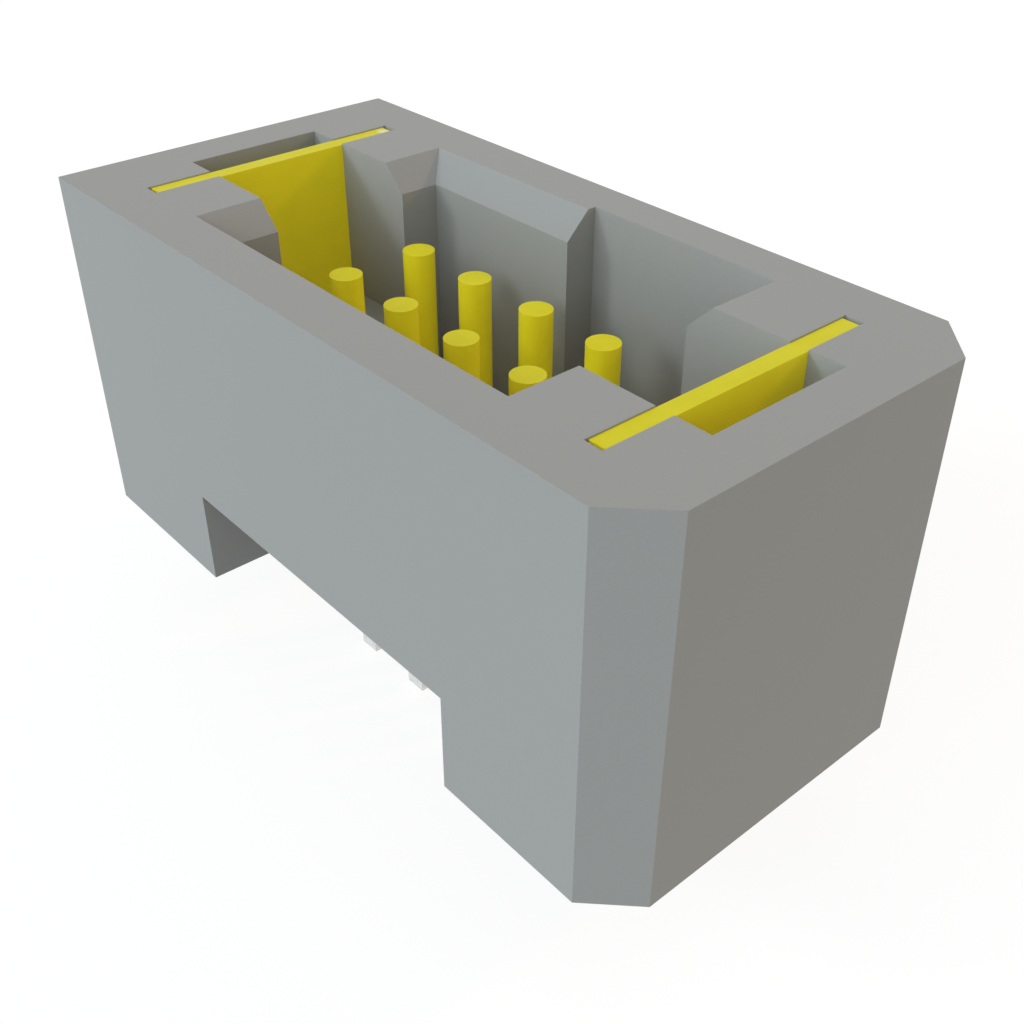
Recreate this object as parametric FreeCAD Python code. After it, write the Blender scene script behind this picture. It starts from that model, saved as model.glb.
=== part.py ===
import FreeCAD, Part

import os

# Shrouded through-hole pin header with two rows of contacts, in millimetres.
# The origin is the centre of the seating plane, where the two feet meet the board.
# +X runs to the end with the bevelled corners, +Y to the wall with the key recess, +Z up.

# Housing body
housing_length = 18.5
housing_width = 9.0
housing_height = 8.8
corner_bevel = 1.0  # on the two upright corners of the +X end

# Relief under the middle, which leaves a foot at each end
relief_length = 9.0
relief_height = 2.4

# Plug cavity
cavity_length = 9.0
cavity_width = 5.4
base_thickness = 1.0  # from the top of the relief to the cavity floor
lead_in = 0.6  # 45 degree slope round the mouth, measured along the top face

# Key recess in the +Y wall of the cavity
key_start = 0.1  # from the middle of the housing, and from there to the cavity's +X end
key_depth = 0.8

# Latch channel, from the cavity past both end plates
channel_width = 3.4
channel_depth = 3.85
end_wall = 1.15  # between the channel and the outside
pocket_length = 0.8  # stretch of channel beyond each end plate

# End plates
plate_thickness = 0.4
plate_width = 6.4
plate_height = 5.75
plate_recess = 0.03  # from the top face down to the plate's top edge
plate_clearance = 0.01  # at each face, between plate and slot
plate_end_clearance = 0.1  # at each end, between plate and slot
barb_height = 0.6
barb_pitch = 0.9
barb_start = 0.5  # from the plate's lower edge to the first barb
barbs_per_end = 2

# Contacts
contacts_per_row = 4
contact_pitch = 2.0
row_spacing = 2.0
contact_diameter = 0.73
contact_exposed = 4.1  # round length that stands above the cavity floor
collar_diameter = 1.1  # press-in collar, level with the cavity floor
collar_height = 0.6
contact_clearance = 0.01  # all round, between contact and base
tail_width = 0.56
tail_thickness = 0.4
tail_length = 3.12  # below the seating plane

# Places that follow from the sizes
cavity_floor = relief_height + base_thickness
collar_bottom = cavity_floor - collar_height
channel_reach = housing_length / 2 - end_wall
slot_thickness = plate_thickness + 2 * plate_clearance
plate_centre = channel_reach - pocket_length - slot_thickness / 2
plate_top = housing_height - plate_recess
plate_bottom = plate_top - plate_height


def rectangle(length, width, x, y, z):
    """Closed level wire, length along X and width along Y, centred on x, y."""
    corners = [(-1, -1), (1, -1), (1, 1), (-1, 1), (-1, -1)]
    return Part.makePolygon(
        [FreeCAD.Vector(x + i * length / 2, y + j * width / 2, z) for i, j in corners]
    )


def upright(length, width, bottom, top, x=0.0, y=0.0):
    """Upright bar of rectangular section, centred on x, y."""
    section = Part.Face(rectangle(length, width, x, y, bottom))
    return section.extrude(FreeCAD.Vector(0, 0, top - bottom))


def swept_profile(points, sweep):
    """Solid made by moving a flat outline along a vector."""
    return Part.Face(Part.makePolygon(points + points[:1])).extrude(sweep)


def contact_places():
    """Names and centres of the contacts, row by row, number 1 at the bevelled end."""
    places = {}
    for row, side in (("front", -1), ("rear", 1)):
        for number in range(contacts_per_row):
            x = ((contacts_per_row - 1) / 2 - number) * contact_pitch
            places[f"{row}_contact_{number + 1}"] = (x, side * row_spacing / 2)
    return places


def body():
    """Housing blank: the side profile with its feet, swept across, with two bevelled corners."""
    half, foot = housing_length / 2, relief_length / 2
    profile = [
        (-half, 0), (-foot, 0), (-foot, relief_height), (foot, relief_height),
        (foot, 0), (half, 0), (half, housing_height), (-half, housing_height),
    ]
    blank = swept_profile(
        [FreeCAD.Vector(x, -housing_width / 2, z) for x, z in profile],
        FreeCAD.Vector(0, housing_width, 0),
    )
    corners = [
        edge for edge in blank.Edges
        if all(abs(v.X - half) < 1e-6 for v in edge.Vertexes)
        and abs(edge.Vertexes[0].Z - edge.Vertexes[-1].Z) > 1e-6
    ]
    return blank.makeChamfer(corner_bevel, corners)


def cavity():
    """Room for the plug, with the sloped mouth mitred at its four corners."""
    shaft = upright(cavity_length, cavity_width, cavity_floor, housing_height)
    lower = rectangle(cavity_length, cavity_width, 0, 0, housing_height - lead_in)
    upper = rectangle(cavity_length + 2 * lead_in, cavity_width + 2 * lead_in, 0, 0, housing_height)
    return shaft.fuse(Part.makeLoft([lower, upper], True, True))


def key_recess():
    """Room for the plug's key: straight at the back, sloped only at the cavity's end."""
    end = cavity_length / 2
    profile = [
        (key_start, cavity_floor), (end, cavity_floor), (end, housing_height - lead_in),
        (end + lead_in, housing_height), (key_start, housing_height),
    ]
    return swept_profile(
        [FreeCAD.Vector(x, 0, z) for x, z in profile],
        FreeCAD.Vector(0, cavity_width / 2 + key_depth, 0),
    )


def latch_channel():
    """Level-floored channel that runs through the cavity and past both end plates."""
    floor = housing_height - channel_depth
    return upright(2 * channel_reach, channel_width, floor, housing_height)


def plate_slot(side):
    """Blind slot that takes an end plate from above, with its floor under the plate."""
    width = plate_width + 2 * plate_end_clearance
    return upright(slot_thickness, width, plate_bottom, housing_height, side * plate_centre)


def contact_hole(x, y):
    """Stepped hole in the base: round for the collar, with the tail's shape below the step."""
    grow = 2 * contact_clearance
    seat = FreeCAD.Vector(x, y, collar_bottom)
    round_hole = Part.makeCylinder(collar_diameter / 2 + contact_clearance, collar_height, seat)
    flat_hole = upright(
        tail_width + grow, tail_thickness + grow, relief_height, collar_bottom, x, y
    )
    return round_hole.fuse(flat_hole)


def housing():
    """The moulded housing, one piece."""
    cuts = [cavity(), key_recess(), latch_channel(), plate_slot(-1), plate_slot(1)]
    cuts += [contact_hole(x, y) for x, y in contact_places().values()]
    return body().cut(cuts).removeSplitter()


def contact(x, y):
    """One contact: round where the plug slides on, with a collar in the base and a flat tail."""
    seat = FreeCAD.Vector(x, y, collar_bottom)
    blade = Part.makeCylinder(contact_diameter / 2, collar_height + contact_exposed, seat)
    collar = Part.makeCylinder(collar_diameter / 2, collar_height, seat)
    tail = upright(tail_width, tail_thickness, -tail_length, collar_bottom, x, y)
    return blade.fuse([collar, tail]).removeSplitter()


def end_plate(side):
    """One end plate: a flat stamping whose end barbs reach the ends of its slot."""
    edge = plate_width / 2
    end = [(edge, plate_bottom)]
    for barb in range(barbs_per_end):
        foot = plate_bottom + barb_start + barb * barb_pitch
        end += [(edge, foot), (edge + plate_end_clearance, foot + barb_height)]
        end += [(edge, foot + barb_height)]
    end += [(edge, plate_top)]
    outline = end + [(-y, z) for y, z in reversed(end)]
    face = side * plate_centre - plate_thickness / 2
    return swept_profile(
        [FreeCAD.Vector(face, y, z) for y, z in outline],
        FreeCAD.Vector(plate_thickness, 0, 0),
    )


def pieces():
    """Every separate piece by name."""
    made = {"housing": housing()}
    for name, (x, y) in contact_places().items():
        made[name] = contact(x, y)
    made["left_end_plate"] = end_plate(-1)
    made["right_end_plate"] = end_plate(1)
    return made


os.makedirs("parts", exist_ok=True)
for name, shape in pieces().items():
    shape.exportStep(f"parts/{name}.step")
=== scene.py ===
import bpy
import math
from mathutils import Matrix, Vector


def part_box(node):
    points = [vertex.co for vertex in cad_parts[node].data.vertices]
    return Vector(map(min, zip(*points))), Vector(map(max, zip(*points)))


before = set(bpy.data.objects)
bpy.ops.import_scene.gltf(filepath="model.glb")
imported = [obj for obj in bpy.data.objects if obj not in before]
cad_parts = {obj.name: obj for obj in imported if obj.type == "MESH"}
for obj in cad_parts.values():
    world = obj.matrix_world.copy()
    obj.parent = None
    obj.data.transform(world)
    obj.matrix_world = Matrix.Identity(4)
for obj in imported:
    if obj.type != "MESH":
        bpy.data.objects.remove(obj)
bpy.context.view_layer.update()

# Sizes are in metres, and MM turns a value in millimetres into metres
MM = 0.001
MICRON = 0.001 * MM

# Names and levels of the pieces
CONTACTS = [f"{row}_contact_{number}" for row in ("front", "rear") for number in (1, 2, 3, 4)]
PLATES = ["left_end_plate", "right_end_plate"]
TAIL_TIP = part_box(CONTACTS[0])[0].z

# Camera, fitted to the straight edges of the housing
CAMERA_PLACE = Vector((18.689, -14.999, 19.056)) * MM
CAMERA_AZIMUTH = 49.075
CAMERA_ELEVATION = 35.015
CAMERA_LENS = 44.317
SENSOR_WIDTH = 36.0
CLIP_START = 1 * MM
CLIP_END = 10.0

# Colours, linear
PLASTIC_PALE = (0.372, 0.377, 0.369)
PLASTIC_DARK = (0.308, 0.313, 0.307)
GOLD = (0.696, 0.651, 0.0165)
GOLD_DULL = (0.670, 0.626, 0.0150)
PLATE_GOLD = (0.672, 0.629, 0.0165)
PLATE_GOLD_DULL = (0.646, 0.604, 0.0150)
# Pale colour of the painted highlight on a plate's top edge
GOLD_PAINTED_HIGHLIGHT = (0.76, 0.76, 0.43)
TIN = (0.69, 0.71, 0.70)
TIN_DULL = (0.63, 0.65, 0.64)
WHITE = (1.0, 1.0, 1.0)

# Mean of every pattern, and halfway between two colours
MIDDLE = 0.5

# Plastic: size and relief of the mould texture, slow flow patches longer along the housing,
# and how far each of the two moves the shade and the roughness
TEXTURE_SIZE = 0.055 * MM
TEXTURE_RELIEF = 2.0 * MICRON
TEXTURE_SHADE = 0.5
TEXTURE_ROUGHNESS = 0.10
FLOW_SIZE = 2.6 * MM
FLOW_STRETCH = (2.2, 1, 1)
FLOW_SHADE = 0.2
FLOW_ROUGHNESS = 0.06
PLASTIC_ROUGHNESS = 0.56
PLASTIC_SPECULAR = 0.15

# Metal: fine lines that run up the contacts and across the housing on the plates, and clouds
DRAWN_WIDTH = 0.028 * MM
DRAWN_STRETCH = (1, 1, 60)
ROLLED_WIDTH = 0.035 * MM
ROLLED_STRETCH = (1, 50, 1)
LINE_RELIEF = 0.2 * MICRON
CONTACT_CLOUD = 0.35 * MM
PLATE_CLOUD = 0.7 * MM
METAL_ROUGHNESS = 0.46
METAL_SPECULAR = 0.1

# Wear: the lines' share in it, the levels between which gold turns dull, and its roughness
LINE_SHARE = 0.4
WEAR_LEVELS = (0.38, 0.64)
WEAR_ROUGHNESS = 0.16

# Tin on the contacts' tails: the gold ends inside the base, just above the foot of the collar
TIN_TOP = 2.9 * MM
GOLD_FOOT = 3.0 * MM
TIN_METALLIC = 0.5
MOTTLE_SIZE = 0.12 * MM
MOTTLE_LEVELS = (0.38, 0.62)

# Painted highlight: a pale spot painted on the left plate's top edge, near its far end, with where
# it starts to fade and ends
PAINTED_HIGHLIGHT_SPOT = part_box("left_end_plate")[1] - Vector((0.16, 0.26, 0)) * MM
PAINTED_HIGHLIGHT_RADII = (0.05 * MM, 0.20 * MM)
UPWARD_LEVELS = (0.4, 0.8)

# Floor, with the colour it throws back and the colour that a shadow darkens
FLOOR_WIDTH = 4.0
FLOOR_BOUNCE = (0.53, 0.53, 0.53)
FLOOR_ROUGHNESS = 0.9
FLOOR_SHADOW = (0.20, 0.20, 0.20)
FLOOR_GLOW = 0.85

# Surroundings, as the object sees them
ROOM_COLOUR = (1.0, 0.96, 0.90)
ROOM_STRENGTH = 0.50


class Value:
    """An output socket that takes part in sums, so that shader maths reads as an expression."""

    def __init__(self, nodes, socket):
        self.nodes = nodes
        self.socket = socket

    def maths(self, operation, first, second):
        return self.nodes.node("ShaderNodeMath", {"operation": operation}, {0: first, 1: second})

    def __add__(self, other):
        return self.maths("ADD", self, other)

    def __sub__(self, other):
        return self.maths("SUBTRACT", self, other)

    def __rsub__(self, other):
        return self.maths("SUBTRACT", other, self)

    def __mul__(self, other):
        return self.maths("MULTIPLY", self, other)

    def __or__(self, other):
        return self.maths("MAXIMUM", self, other)

    __radd__ = __add__
    __rmul__ = __mul__


class Nodes:
    """A node tree, with one method that adds every kind of node to it."""

    def __init__(self, tree):
        self.tree = tree

    def node(self, kind, settings=None, inputs=None, output=0):
        """Adds a node, sets its settings and then its sockets, and gives one of its outputs."""
        made = self.tree.nodes.new(kind)
        for name, value in (settings or {}).items():
            setattr(made, name, value)
        for name, value in (inputs or {}).items():
            self.feed(made.inputs[name], value)
        return Value(self, made.outputs[output])

    def feed(self, socket, value):
        """Links a value to a socket, or sets the socket to a plain number, place or colour."""
        if isinstance(value, Value):
            self.tree.links.new(value.socket, socket)
        else:
            socket.default_value = value

    def seen(self):
        """1 for rays from the camera, a reflection or glass, and 0 for diffuse light."""
        kinds = ("Camera", "Glossy", "Transmission")
        camera_ray, glossy_ray, glass_ray = (
            self.node("ShaderNodeLightPath", output=f"Is {kind} Ray") for kind in kinds)
        return camera_ray | glossy_ray | glass_ray


class Finish(Nodes):
    """A material, with the patterns that a finish is made of."""

    def __init__(self, name):
        self.material = bpy.data.materials.new(name)
        self.material.use_nodes = True
        super().__init__(self.material.node_tree)
        self.shader = self.tree.nodes["Principled BSDF"]
        self.place = self.node("ShaderNodeTexCoord", output="Object")

    def look(self, **values):
        """Sets the shader's own sockets, with words joined by underscores for their names."""
        for name, value in values.items():
            self.feed(self.shader.inputs[name.replace("_", " ")], value)

    def grain(self, size, detail=2.0, stretch=(1, 1, 1)):
        """Cloudy pattern from 0 to 1 with patches of about this size, longer where stretched."""
        scale = tuple(1 / factor for factor in stretch)
        place = self.node("ShaderNodeMapping", inputs={"Vector": self.place, "Scale": scale})
        inputs = {"Vector": place, "Scale": 1 / size, "Detail": detail}
        return self.node("ShaderNodeTexNoise", inputs=inputs)

    def rise(self, value, low, high):
        """0 below low, 1 above high and smooth between them."""
        settings = {"interpolation_type": "SMOOTHSTEP"}
        inputs = {"Value": value, "From Min": low, "From Max": high}
        return self.node("ShaderNodeMapRange", settings, inputs)

    def blend(self, factor, first, second):
        """Colour between two colours, each a value or a plain triple."""
        colours = [c if isinstance(c, Value) else (*c, 1) for c in (first, second)]
        inputs = {0: factor, 6: colours[0], 7: colours[1]}
        return self.node("ShaderNodeMix", {"data_type": "RGBA"}, inputs, output=2)

    def relief(self, height, depth):
        """Bumps of this depth on the surface."""
        inputs = {"Height": height, "Distance": depth, "Strength": 1.0}
        return self.node("ShaderNodeBump", inputs=inputs)

    def axis(self, vector, letter):
        """One part of a vector, by its letter."""
        return self.node("ShaderNodeSeparateXYZ", inputs={0: vector}, output=letter)

    def upward(self):
        """1 on faces that look up, 0 on upright ones."""
        normal = self.node("ShaderNodeTexCoord", output="Normal")
        return self.rise(self.axis(normal, "Z"), *UPWARD_LEVELS)

    def spot(self, centre, radii):
        """1 within the first radius of a place, and 0 beyond the second."""
        inputs = {0: self.place, 1: centre}
        away = self.node("ShaderNodeVectorMath", {"operation": "DISTANCE"}, inputs, output="Value")
        return 1 - self.rise(away, *radii)


def housing_plastic():
    """Grey moulded plastic: eroded mould texture and slow flow shades."""
    finish = Finish("housing_plastic")
    texture = finish.grain(TEXTURE_SIZE, detail=3.0)
    flow = finish.grain(FLOW_SIZE, stretch=FLOW_STRETCH)
    grit = texture - MIDDLE
    drift = flow - MIDDLE
    finish.look(
        Base_Color=finish.blend(MIDDLE + TEXTURE_SHADE * grit + FLOW_SHADE * drift,
                                PLASTIC_DARK, PLASTIC_PALE),
        Roughness=PLASTIC_ROUGHNESS + TEXTURE_ROUGHNESS * grit + FLOW_ROUGHNESS * drift,
        Normal=finish.relief(texture, TEXTURE_RELIEF),
        Specular_IOR_Level=PLASTIC_SPECULAR,
    )
    return finish.material


def metal_wear(finish, lines, cloud_size):
    """Wear from 0 to 1, from fine lines and slow clouds."""
    return LINE_SHARE * lines + (1 - LINE_SHARE) * finish.grain(cloud_size)


def contact_metal():
    """Contacts: gold with fine drawn lines, and dull mottled tin on the tails below the base."""
    finish = Finish("contact_metal")
    drawn = finish.grain(DRAWN_WIDTH, stretch=DRAWN_STRETCH)
    wear = metal_wear(finish, drawn, CONTACT_CLOUD)
    gold = finish.blend(finish.rise(wear, *WEAR_LEVELS), GOLD, GOLD_DULL)
    mottle = finish.grain(MOTTLE_SIZE, detail=4.0)
    tin = finish.blend(finish.rise(mottle, *MOTTLE_LEVELS), TIN, TIN_DULL)
    plated = finish.rise(finish.axis(finish.place, "Z"), TIN_TOP, GOLD_FOOT)
    finish.look(
        Base_Color=finish.blend(plated, tin, gold),
        Roughness=METAL_ROUGHNESS + WEAR_ROUGHNESS * (wear - MIDDLE),
        Metallic=TIN_METALLIC * (1 - plated),
        Normal=finish.relief(drawn, LINE_RELIEF),
        Specular_IOR_Level=METAL_SPECULAR,
    )
    return finish.material


def plate_metal():
    """End plates: gold with fine rolled lines, and one pale painted highlight on a top edge."""
    finish = Finish("plate_metal")
    rolled = finish.grain(ROLLED_WIDTH, stretch=ROLLED_STRETCH)
    wear = metal_wear(finish, rolled, PLATE_CLOUD)
    gold = finish.blend(finish.rise(wear, *WEAR_LEVELS), PLATE_GOLD, PLATE_GOLD_DULL)
    # Painted highlight: a pale spot on the faces of one top edge that look up
    painted_highlight = finish.upward() * finish.spot(PAINTED_HIGHLIGHT_SPOT, PAINTED_HIGHLIGHT_RADII)
    finish.look(
        Base_Color=finish.blend(painted_highlight, gold, GOLD_PAINTED_HIGHLIGHT),
        Roughness=METAL_ROUGHNESS + WEAR_ROUGHNESS * (wear - MIDDLE),
        Normal=finish.relief(rolled, LINE_RELIEF),
        Specular_IOR_Level=METAL_SPECULAR,
    )
    return finish.material


def dress(names, material):
    """Puts a material on CAD nodes."""
    for name in names:
        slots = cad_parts[name].data.materials
        slots.clear()
        slots.append(material)


def camera():
    """Camera that sees the object from the picture's own angle."""
    made = bpy.data.cameras.new("photo_view")
    made.lens = CAMERA_LENS
    made.sensor_width = SENSOR_WIDTH
    made.clip_start = CLIP_START
    made.clip_end = CLIP_END
    view = bpy.data.objects.new("photo_view", made)
    bpy.context.scene.collection.objects.link(view)
    view.location = CAMERA_PLACE
    view.rotation_euler = (math.radians(90 - CAMERA_ELEVATION), 0, math.radians(CAMERA_AZIMUTH))
    bpy.context.scene.camera = view


def lamp(name, azimuth, elevation, spread, strength, colour, glossy=True, only=()):
    """Studio light far away in a direction, in degrees, with azimuth from +X towards +Y.

    One that isn't glossy shows in no reflection. Where nodes are named, it lights only them and
    casts no shadow, as a fill held close to them.
    """
    made = bpy.data.lights.new(name, "SUN")
    made.energy = strength
    made.color = colour
    made.angle = math.radians(spread)
    light = bpy.data.objects.new(name, made)
    light.rotation_euler = (0, math.radians(90 - elevation), math.radians(azimuth))
    light.visible_glossy = glossy
    bpy.context.scene.collection.objects.link(light)
    if only:
        lit = bpy.data.collections.new(name + "_lights")
        for node in only:
            lit.objects.link(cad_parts[node])
        light.light_linking.receiver_collection = lit
        made.use_shadow = False
        made.cycles.use_multiple_importance_sampling = False


def lamps():
    """Broad light from the front, a key on the left, a warm light behind, and weak fills."""
    lamp("front_softbox", azimuth=271, elevation=23, spread=55,
         strength=1.31, colour=(0.67, 0.77, 0.98))
    lamp("low_front_fill", azimuth=275, elevation=12, spread=30,
         strength=0.24, colour=(0.72, 1.0, 0.53))
    lamp("left_key", azimuth=235, elevation=27, spread=12,
         strength=0.72, colour=(0.90, 0.98, 0.99))
    lamp("rear_warm", azimuth=65, elevation=28.5, spread=5,
         strength=0.62, colour=(1.0, 0.64, 0.27))
    lamp("overhead", azimuth=0, elevation=85, spread=40,
         strength=0.15, colour=(0.48, 0.65, 1.0))
    lamp("right_fill", azimuth=340, elevation=25, spread=40,
         strength=0.16, colour=(0.97, 1.0, 0.98))
    lamp("back_fill", azimuth=135, elevation=6, spread=40,
         strength=0.45, colour=(0.70, 0.85, 1.0), glossy=False)
    lamp("gold_fill_right", azimuth=28, elevation=0, spread=100,
         strength=0.44, colour=(1.0, 0.77, 0.60), only=CONTACTS + PLATES)
    lamp("gold_fill_left", azimuth=290, elevation=0, spread=100,
         strength=0.64, colour=(1.0, 0.75, 0.60), only=CONTACTS + PLATES)


def floor():
    """White floor that keeps a faint shadow and gives back less light than white paper."""
    bpy.ops.mesh.primitive_plane_add(size=FLOOR_WIDTH, location=(0, 0, TAIL_TIP))
    plane = bpy.context.object
    plane.name = "floor"
    finish = Finish("floor_white")
    finish.look(Base_Color=(*FLOOR_BOUNCE, 1), Roughness=FLOOR_ROUGHNESS, Specular_IOR_Level=0.0)
    bounce = Value(finish, finish.shader.outputs[0])
    shadow = finish.node("ShaderNodeBsdfDiffuse", inputs={"Color": (*FLOOR_SHADOW, 1)})
    glow = finish.node("ShaderNodeEmission", inputs={"Color": (*WHITE, 1), "Strength": FLOOR_GLOW})
    white = finish.node("ShaderNodeAddShader", inputs={0: shadow, 1: glow})
    both = finish.node("ShaderNodeMixShader", inputs={0: finish.seen(), 1: bounce, 2: white})
    finish.feed(finish.tree.nodes["Material Output"].inputs["Surface"], both)
    plane.data.materials.append(finish.material)


def surroundings():
    """Dim surroundings, a little warm, that look white to the camera."""
    world = bpy.data.worlds.new("studio")
    world.use_nodes = True
    nodes = Nodes(world.node_tree)
    room = nodes.tree.nodes["Background"]
    nodes.feed(room.inputs["Color"], (*ROOM_COLOUR, 1))
    nodes.feed(room.inputs["Strength"], ROOM_STRENGTH)
    dim = Value(nodes, room.outputs[0])
    white = nodes.node("ShaderNodeBackground", inputs={"Color": (*WHITE, 1)})
    both = nodes.node("ShaderNodeMixShader", inputs={0: nodes.seen(), 1: dim, 2: white})
    nodes.feed(nodes.tree.nodes["World Output"].inputs["Surface"], both)
    bpy.context.scene.world = world


dress(["housing"], housing_plastic())
dress(CONTACTS, contact_metal())
dress(PLATES, plate_metal())
camera()
lamps()
floor()
surroundings()
bpy.context.scene.view_settings.view_transform = "Standard"
